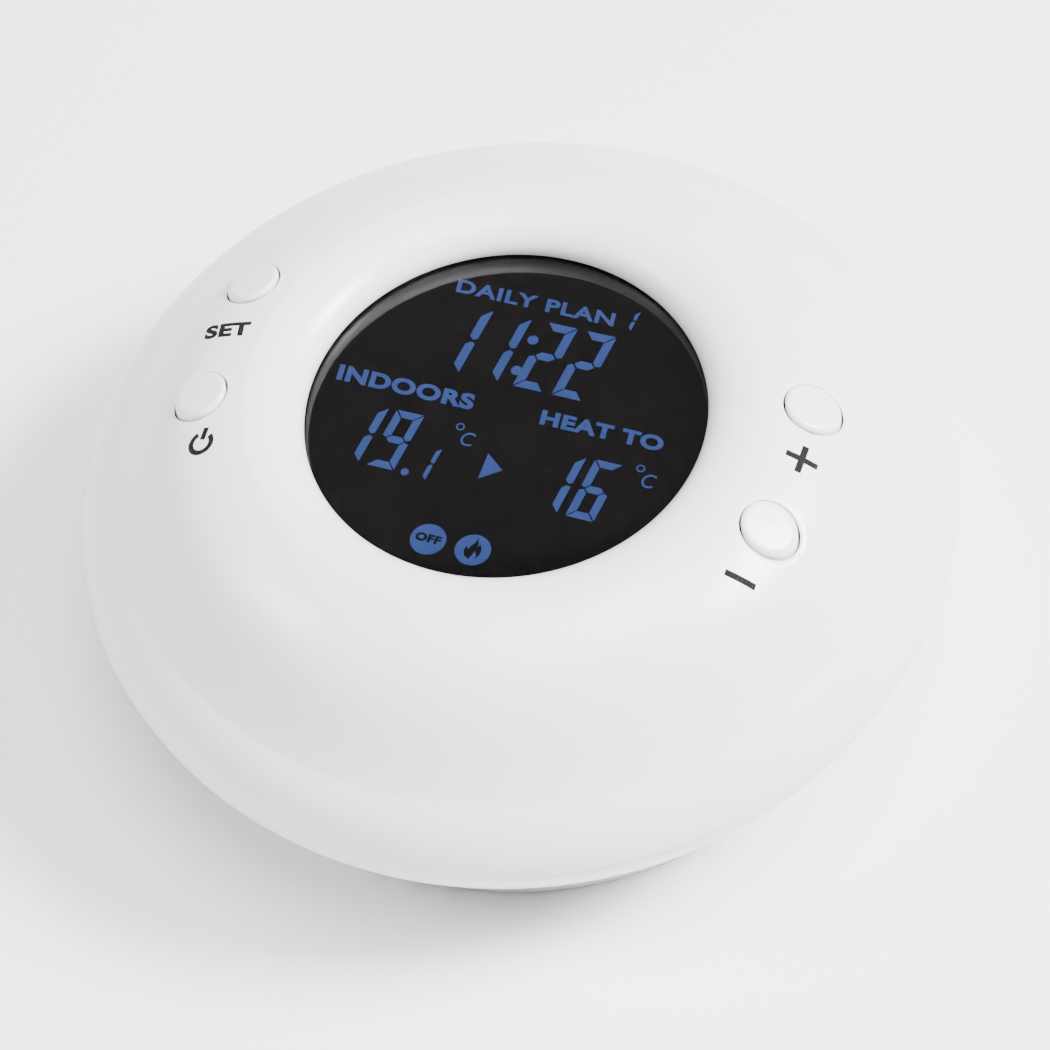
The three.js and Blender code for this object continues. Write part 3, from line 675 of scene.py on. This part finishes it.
def bay_lining():
    """Walls and roof of the battery bay, above its opening in the floor."""
    half_x, half_y, top = bay_box()
    bm = bmesh.new()
    verts = cuboid(bm, (-half_x, -half_y, FLOOR_Z + 0.05 * MM), (half_x, half_y, top))
    open_face = min(bm.faces, key=lambda face: face.calc_center_median().z)
    bmesh.ops.delete(bm, geom=[open_face], context="FACES_ONLY")
    bmesh.ops.reverse_faces(bm, faces=bm.faces)
    bmesh.ops.bevel(
        bm,
        geom=[edge for edge in bm.edges if not edge.is_boundary],
        offset=0.8 * MM,
        segments=4,
        affect="EDGES",
        profile=0.5,
        material=-1,
    )
    bmesh.ops.solidify(bm, geom=bm.faces, thickness=1.6 * MM)
    piece("battery_bay_lining", bm, "case", FINISHES["case_white"])


def screw_wells():
    """Deep cups in the floor, each with a screw head at its end."""
    wall = 1.2 * MM
    bm = bmesh.new()
    for centre, radius, head in screw_places():
        well_r = radius + GAP
        roof = head + 1.8 * MM + GAP
        outline = [
            (well_r, FLOOR_Z + 0.05 * MM),
            (well_r + wall, FLOOR_Z + 0.05 * MM),
            (well_r + wall, roof + wall),
            (0, roof + wall),
            (0, roof),
            (well_r, roof),
        ]
        spin_round(bm, outline, 48, centre)
    piece("screw_wells", bm, "case", FINISHES["case_white"])


# ---------------------------------------------------------------- battery door
RAIL_L = 6.5 * MM
RAIL_W = 1.5 * MM
RAIL_LIP = 1.6 * MM
RAIL_LIP_T = 0.6 * MM
GRIP_COUNT = 4
GRIP_PITCH = 1.6 * MM
GRIP_INSET = 4 * MM
GRIP_L = 12 * MM
GRIP_W = 0.8 * MM
GRIP_DEPTH = 0.5 * MM


def soften(bm, offset, segments=3):
    bmesh.ops.bevel(
        bm,
        geom=list(bm.edges),
        offset=offset,
        segments=segments,
        affect="EDGES",
        profile=0.5,
        material=-1,
    )


def battery_door():
    """Sliding cover with four side tongues and finger grooves."""
    body = door_high.x - (RAIL_LIP - GAP)
    half_y = door_high.y
    bm = bmesh.new()
    cuboid(bm, (-body, -half_y, door_low.z), (body, half_y, door_high.z))
    soften(bm, 0.35 * MM)
    cutters = bmesh.new()
    for i in range(GRIP_COUNT):
        y = half_y - GRIP_INSET - GRIP_PITCH * i
        low = (-GRIP_L / 2, y - GRIP_W / 2, door_low.z - MM)
        high = (GRIP_L / 2, y + GRIP_W / 2, door_low.z + GRIP_DEPTH)
        cuboid(cutters, low, high)
    bm = carved(bm, cutters)
    piece("battery_door_cover", bm, "door", FINISHES["case_white"], ["battery_door"])
    for side in (-1, 1):
        for end in (-1, 1):
            tongue = bmesh.new()
            y = end * half_y / 2
            near, far = sorted((side * (body - 0.5 * MM), side * door_high.x))
            low = (near, y - RAIL_L / 2, door_low.z + 0.02 * MM)
            high = (far, y + RAIL_L / 2, door_high.z - 0.02 * MM)
            cuboid(tongue, low, high)
            soften(tongue, 0.2 * MM)
            name = f"door_tongue_{'right' if side > 0 else 'left'}_{'upper' if end > 0 else 'lower'}"
            piece(name, tongue, "door", FINISHES["case_white"])


def door_rails():
    """L-shaped rails under the floor that hold the door's tongues."""
    inside = door_high.x + 2 * GAP
    lip_top = door_low.z - GAP
    for side in (-1, 1):
        for end in (-1, 1):
            y = end * door_high.y / 2
            bm = bmesh.new()
            section = [
                (inside, FLOOR_Z + 0.5 * MM),
                (inside, lip_top),
                (inside - RAIL_LIP, lip_top),
                (inside - RAIL_LIP, lip_top - RAIL_LIP_T),
                (inside + RAIL_W, lip_top - RAIL_LIP_T),
                (inside + RAIL_W, FLOOR_Z + 0.5 * MM),
            ]
            ring = [bm.verts.new((side * x, y - RAIL_L / 2, z)) for x, z in section]
            face = bm.faces.new(ring)
            pull(bm, face, (0, RAIL_L, 0))
            soften(bm, 0.1 * MM, 2)
            name = f"door_rail_{'right' if side > 0 else 'left'}_{'upper' if end > 0 else 'lower'}"
            piece(name, bm, "case", FINISHES["case_white"])


# ---------------------------------------------------------------- window and buttons
def display_window():
    edge = 0.12 * MM
    low, high = window_low.z, window_high.z
    outline = [
        (0, low),
        *arc((WINDOW_R - edge, low + edge), edge, -90, 0, 3),
        *arc((WINDOW_R - edge, high - edge), edge, 0, 90, 3),
        (0, high),
    ]
    bm = bmesh.new()
    spin_round(bm, outline, 180)
    piece("window_disc", bm, "case", FINISHES["window_tint"], ["display_window"])


def button_cap(name):
    """Cap with a flange below and a top that follows the crown's slope."""
    low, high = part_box("button_" + name)
    place = button_place(name)
    ring = place.length
    step = 0.5 * MM
    slope = (top_height(ring + step) - top_height(ring - step)) / (2 * step)
    top = top_height(ring) + CAP_PROUD
    flange_r = (high.y - low.y) / 2
    shoulder = low.z + FLANGE_T
    outline = [
        (0, low.z),
        (flange_r, low.z),
        (flange_r, shoulder),
        (BUTTON_R, shoulder),
        *[(BUTTON_R, shoulder + (top - CAP_EDGE - shoulder) * i / 3) for i in (1, 2)],
        *arc((BUTTON_R - CAP_EDGE, top - CAP_EDGE), CAP_EDGE, 0, 90, 8),
        *[((BUTTON_R - CAP_EDGE) * (1 - i / 5), top + 0.12 * MM * (i / 5)) for i in range(1, 6)],
    ]
    bm = bmesh.new()
    spin_round(bm, outline, 96)
    for vert in bm.verts:
        if vert.co.z > shoulder + GAP:
            vert.co.z += slope * vert.co.x
    turn = Matrix.Rotation(atan2(place.y, place.x), 4, "Z")
    bmesh.ops.transform(bm, matrix=Matrix.Translation((*place, 0)) @ turn, verts=bm.verts)
    piece(
        "keycap_" + name,
        bm,
        name + "_key",
        FINISHES["case_white"],
        ["button_" + name],
        crease=60,
    )


# ---------------------------------------------------------------- lettering and figures
def flat_text(words, height, wide=1.3, lean=0.0, weight=0.05):
    """Bold slanted capitals of that height, as a flat bmesh centred on its origin."""
    curve = bpy.data.curves.new("letters", "FONT")
    curve.body = words
    curve.align_x = "CENTER"
    curve.align_y = "CENTER"
    curve.shear = lean
    curve.offset = weight
    curve.space_character = 1.08
    made = bpy.data.objects.new("letters", curve)
    bpy.context.scene.collection.objects.link(made)
    seen = made.evaluated_get(bpy.context.evaluated_depsgraph_get())
    bm = bmesh.new()
    bm.from_mesh(seen.to_mesh())
    bpy.data.objects.remove(made)
    tall = max(vert.co.y for vert in bm.verts) - min(vert.co.y for vert in bm.verts)
    scale = height / tall
    bmesh.ops.scale(bm, vec=(scale * wide, scale, scale), verts=bm.verts)
    return bm


def face_up(bm):
    for face in bm.faces:
        face.normal_update()
        if face.normal.z < 0:
            face.normal_flip()


def sliced(bm, spacing):
    """Cuts a flat shape into narrow strips both ways, so that it can follow a curved surface."""
    for axis in (0, 1):
        values = [vert.co[axis] for vert in bm.verts]
        steps = int((max(values) - min(values)) / spacing)
        for i in range(1, steps + 1):
            normal = Vector((1 - axis, axis, 0))
            spot = normal * (min(values) + spacing * i)
            geom = bm.verts[:] + bm.edges[:] + bm.faces[:]
            bmesh.ops.bisect_plane(bm, geom=geom, plane_co=spot, plane_no=normal)


def print_on_crown(name, bm, centre, turn=0.0):
    """Lays a flat shape on the crown as a film of ink."""
    sliced(bm, 0.4 * MM)
    place = Matrix.Translation((*centre, 0)) @ Matrix.Rotation(radians(turn), 4, "Z")
    bmesh.ops.transform(bm, matrix=place, verts=bm.verts)
    for vert in bm.verts:
        vert.co.z = top_height(vert.co.xy.length) + 0.02 * MM
    face_up(bm)
    piece(name, bm, "case", INK)


def flat_outline(points):
    bm = bmesh.new()
    bm.faces.new([bm.verts.new((*spot, 0)) for spot in points])
    return bm


def power_symbol():
    """An open ring with a bar through its gap."""
    outer, inner = 1.8 * MM, 1.1 * MM
    bm = flat_outline(arc((0, 0), outer, 125, 415, 48) + arc((0, 0), inner, 415, 125, 48))
    half, low, high = 0.36 * MM, 0.5 * MM, 2.3 * MM
    corners = [(-half, low), (half, low), (half, high), (-half, high)]
    bm.faces.new([bm.verts.new((*spot, 0)) for spot in corners])
    return bm


def plus_symbol():
    arm, half = 2.1 * MM, 0.42 * MM
    quarter = [(arm, -half), (arm, half), (half, half)]
    points = []
    for turn in range(4):
        for x, y in quarter:
            for _ in range(turn):
                x, y = -y, x
            points.append((x, y))
    return flat_outline(points)


def minus_symbol():
    arm, half = 2.0 * MM, 0.42 * MM
    return flat_outline([(-arm, -half), (arm, -half), (arm, half), (-arm, half)])


def legends():
    print_on_crown("legend_set", flat_text("SET", 2.5 * MM, wide=1.3, lean=-0.12), (-39.9 * MM, 1.1 * MM), 3)
    print_on_crown("legend_power", power_symbol(), (-36.7 * MM, -17.2 * MM))
    print_on_crown("legend_plus", plus_symbol(), (40.6 * MM, 1.6 * MM))
    print_on_crown("legend_minus", minus_symbol(), (38.2 * MM, -18.0 * MM))


SEGMENTS = {
    "1": "bc",
    "2": "abged",
    "6": "afgcde",
    "9": "abcdfg",
}
FIGURE_SLANT = 0.11
ARTWORK = Vector((0.3 * MM, -0.95 * MM))  # middle of the artwork on the glass


def segment_outline(letter, width, height, stroke):
    """One bar of a seven-bar figure, its ends mitred, in a frame from the figure's middle."""
    x, y, gap = width / 2, height / 2, 0.09 * stroke + 0.05 * MM
    half = stroke / 2
    if letter in "ad":
        sign = 1 if letter == "a" else -1
        outline = [(-x, y), (x, y), (x - stroke, y - stroke), (-x + stroke, y - stroke)]
        return [(px * (1 - 2 * gap / width), sign * py) for px, py in outline]
    if letter == "g":
        inside = x - half - gap
        return [(-inside, 0), (-inside + half, half), (inside - half, half)] + [
            (inside, 0),
            (inside - half, -half),
            (-inside + half, -half),
        ]
    side = 1 if letter in "bc" else -1
    sign = 1 if letter in "bf" else -1
    outline = [
        (x, y - gap),
        (x, half * 0.4 + gap),
        (x - half, gap),
        (x - stroke, half + gap),
        (x - stroke, y - stroke - gap),
    ]
    return [(side * px, sign * py) for px, py in outline]


def figure(bm, character, right_top, height, width, stroke):
    """A slanted seven-bar figure hung from its upper right corner."""
    for letter in SEGMENTS[character]:
        corners = []
        for x, y in segment_outline(letter, width, height, stroke):
            spot_y = right_top[1] - height / 2 + y
            spot_x = right_top[0] - width / 2 + x + FIGURE_SLANT * (y - height / 2)
            corners.append(bm.verts.new((spot_x, spot_y, 0)))
        bm.faces.new(corners)


def dot(bm, centre, radius, hole=0.0):
    if hole:
        rings = arc(centre, radius, 0, 359.9, 40) + arc(centre, hole, 359.9, 0, 40)
    else:
        rings = arc(centre, radius, 0, 360, 32)[:-1]
    bm.faces.new([bm.verts.new((*spot, 0)) for spot in rings])


def on_glass(name, bm, lift=0.06 * MM):
    """Lays lit shapes just above the display glass, as a thin film with the display's glow."""
    for vert in bm.verts:
        vert.co.xy += ARTWORK
        vert.co.z = GLASS_TOP + lift
    face_up(bm)
    bmesh.ops.solidify(bm, geom=bm.faces[:], thickness=0.04 * MM)
    bmesh.ops.recalc_face_normals(bm, faces=bm.faces)
    piece(name, bm, "case", FIGURES)


def words_on_glass(name, words, centre, height, length, lean=-0.08, weight=0.045):
    bm = flat_text(words, height, lean=lean, weight=weight)
    xs = [vert.co.x for vert in bm.verts]
    squeeze = length / (max(xs) - min(xs))
    middle = (max(xs) + min(xs)) / 2
    for vert in bm.verts:
        vert.co.x = centre[0] + (vert.co.x - middle) * squeeze
        vert.co.y += centre[1]
    on_glass(name, bm)


def clock_figures():
    bm = bmesh.new()
    for character, right in zip("1122", (-7.9, -2.4, 4.1, 9.6)):
        figure(bm, character, (right * MM, 17.9 * MM), 11.3 * MM, 4.3 * MM, 1.25 * MM)
    for x, y in ((-1.2, 14.5), (-1.7, 9.1)):
        dot(bm, (x * MM, y * MM), 0.75 * MM)
    on_glass("figures_clock", bm)
    bm = bmesh.new()
    figure(bm, "1", (11.4 * MM, 22.9 * MM), 3.5 * MM, 1.6 * MM, 0.5 * MM)
    on_glass("figure_day", bm)


def room_figures():
    bm = bmesh.new()
    for character, right in zip("19", (-16.1, -11.1)):
        figure(bm, character, (right * MM, -1.3 * MM), 9.5 * MM, 3.9 * MM, 1.1 * MM)
    dot(bm, (-10.6 * MM, -10.6 * MM), 0.55 * MM)
    figure(bm, "1", (-7.0 * MM, -5.7 * MM), 5.5 * MM, 2.2 * MM, 0.6 * MM)
    on_glass("figures_room", bm)


def wanted_figures():
    bm = bmesh.new()
    for character, right in zip("16", (11.9, 17.0)):
        figure(bm, character, (right * MM, -1.9 * MM), 9.6 * MM, 3.9 * MM, 1.1 * MM)
    on_glass("figures_wanted", bm)


def degree_marks():
    for name, x, y in (("room", -5.9, -1.7), ("wanted", 19.3, -1.7)):
        bm = bmesh.new()
        dot(bm, (x * MM, y * MM), 0.6 * MM, 0.4 * MM)
        on_glass(f"degree_ring_{name}", bm)
        centre = ((x + 1.6) * MM, (y - 1.8) * MM)
        words_on_glass(f"degree_letter_{name}", "C", centre, 2.2 * MM, 1.8 * MM, lean=0.1, weight=0.0)


def arrow_mark():
    bm = flat_outline([(-0.9 * MM, -4.8 * MM), (-0.9 * MM, -9.0 * MM), (1.8 * MM, -6.9 * MM)])
    on_glass("arrow_mark", bm)


def round_marks():
    """Two lit discs at the bottom, one with a word and one with a flame left dark in it."""
    for name, x in (("off", -4.0), ("flame", 2.2)):
        bm = bmesh.new()
        dot(bm, (x * MM, -19.9 * MM), 2.4 * MM)
        on_glass(f"disc_{name}", bm)
    letters = flat_text("OFF", 1.3 * MM, wide=1.15)
    bmesh.ops.translate(letters, vec=(-4.0 * MM, -19.9 * MM, 0), verts=letters.verts)
    dark_on_disc("disc_word", letters)
    flame = [(0.1, 1.9), (0.5, 1.0), (0.45, 0.45), (0.8, 0.95), (1.15, 0.1), (1.1, -0.7), (0.6, -1.5)]
    flame += [(0.75, -0.8), (0.35, -0.2), (0.2, -0.9), (-0.1, -1.6), (-0.8, -1.2), (-1.1, -0.4)]
    flame += [(-0.9, 0.3), (-0.6, -0.2), (-0.35, 0.5), (0.05, 1.1)]
    bm = flat_outline([((2.2 + x) * MM, (-19.9 + y) * MM) for x, y in flame])
    dark_on_disc("disc_flame_mark", bm)


def dark_on_disc(name, bm):
    for vert in bm.verts:
        vert.co.xy += ARTWORK
        vert.co.z = GLASS_TOP + 0.16 * MM
    face_up(bm)
    piece(name, bm, "case", FINISHES["display_glass"])


def display_words():
    words_on_glass("word_clock", "DAILY PLAN", (-2.9 * MM, 20.5 * MM), 2.2 * MM, 22.8 * MM, weight=0.03)
    words_on_glass("word_room", "INDOORS", (-15.2 * MM, 2.4 * MM), 2.6 * MM, 19.6 * MM)
    words_on_glass("word_wanted", "HEAT TO", (12.4 * MM, 2.6 * MM), 2.4 * MM, 17.2 * MM)


# ---------------------------------------------------------------- stage, light and camera
def stage():
    bm = bmesh.new()
    bmesh.ops.create_grid(bm, x_segments=2, y_segments=2, size=3)
    mesh = bpy.data.meshes.new("floor")
    bm.to_mesh(mesh)
    bm.free()
    floor = bpy.data.objects.new("floor", mesh)
    bpy.context.scene.collection.objects.link(floor)
    finish = Finish("floor_paper")
    finish.set(Base_Color=(0.9, 0.9, 0.9, 1), Roughness=0.9, Specular_IOR_Level=0.1)
    mesh.materials.append(finish.material)


def softbox(name, azimuth, elevation, distance, size, power):
    """A square soft light that looks at the object."""
    a, e = radians(azimuth), radians(elevation)
    back = Vector((sin(a) * cos(e), -cos(a) * cos(e), sin(e)))
    data = bpy.data.lights.new(name, "AREA")
    data.shape = "SQUARE"
    data.size = size
    data.energy = power
    lamp = bpy.data.objects.new(name, data)
    bpy.context.scene.collection.objects.link(lamp)
    lamp.location = back * distance
    lamp.rotation_euler = back.to_track_quat("Z", "Y").to_euler()


def studio():
    world = bpy.data.worlds.new("studio")
    bpy.context.scene.world = world
    world.use_nodes = True
    sky = world.node_tree.nodes["Background"]
    sky.inputs["Color"].default_value = (1.0, 1.0, 1.0, 1)
    sky.inputs["Strength"].default_value = 0.22
    softbox("top_light", 60, 80, 1.2, 0.6, 22)
    softbox("right_light", 108, 46, 1.1, 0.35, 48)
    softbox("left_light", -65, 46, 1.2, 0.3, 9)


VIEW_AZIMUTH = 25.5
VIEW_ELEVATION = 55.2
VIEW_ROLL = -8.1
VIEW_DISTANCE = 0.55
VIEW_OFFSET = (1.0 * MM, -3.8 * MM)
LENS = 4015 / 1050 * 36


def camera():
    """Looks down at the display from in front and to the right, turned a little about its own axis."""
    a, e = radians(VIEW_AZIMUTH), radians(VIEW_ELEVATION)
    back = Vector((sin(a) * cos(e), -cos(a) * cos(e), sin(e)))
    turn = back.to_track_quat("Z", "Y").to_matrix() @ Matrix.Rotation(radians(VIEW_ROLL), 3, "Z")
    data = bpy.data.cameras.new("camera")
    data.lens = LENS
    data.clip_start = 0.01
    eye = bpy.data.objects.new("camera", data)
    bpy.context.scene.collection.objects.link(eye)
    centre = Vector((0, 0, PART_Z))
    offset = turn.col[0] * VIEW_OFFSET[0] + turn.col[1] * VIEW_OFFSET[1]
    eye.location = centre + back * VIEW_DISTANCE + offset
    eye.rotation_euler = turn.to_euler()
    bpy.context.scene.camera = eye


# ---------------------------------------------------------------- assembly
finish_solids()
front_shell()
rear_shell()
bay_lining()
screw_wells()
battery_door()
door_rails()
display_window()
for name in BUTTONS:
    button_cap(name)
legends()
clock_figures()
room_figures()
wanted_figures()
degree_marks()
arrow_mark()
round_marks()
display_words()
stage()
studio()
camera()
